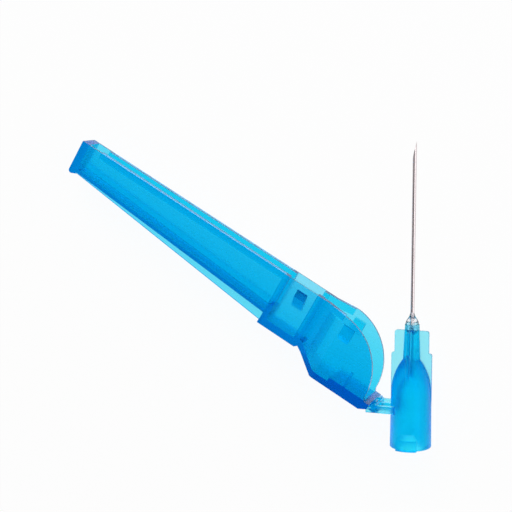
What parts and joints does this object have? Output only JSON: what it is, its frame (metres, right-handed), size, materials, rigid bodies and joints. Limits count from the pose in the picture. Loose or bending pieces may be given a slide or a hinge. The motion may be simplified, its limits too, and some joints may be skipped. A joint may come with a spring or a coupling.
{
  "type": "safety hypodermic needle",
  "caption": "Hypodermic needle with a conical lock socket, finned hub and a hinged trough-shaped safety shield, open at sixty degrees.",
  "frame": {"origin": "centre of the hub's open end face, at the mouth of the conical socket", "axes": "+Y along the needle to its point, +Z parallel to the shield's hinge, the open shield lies towards -X; the part lies on its side"},
  "size_m": [0.0652, 0.051, 0.0082],
  "materials": {
    "hub_plastic": "translucent blue polypropylene, satin",
    "cannula_steel": "drawn stainless steel, fine grind at the point",
    "adhesive": "clear cured adhesive",
    "shield_plastic": "translucent blue polypropylene, satin"
  },
  "bodies": {
    "hub": {"hub": "hub_plastic", "cannula": "cannula_steel", "adhesive_bead": "adhesive"},
    "shield": {"shield": "shield_plastic"}
  },
  "joints": [
    {"name": "shield_hinge", "type": "hinge", "parent": "hub", "child": "shield", "pos_m": [-0.00565, 0.00685, 0], "axis": [0, 0, -1], "range_deg": [0, 60]}
  ]
}
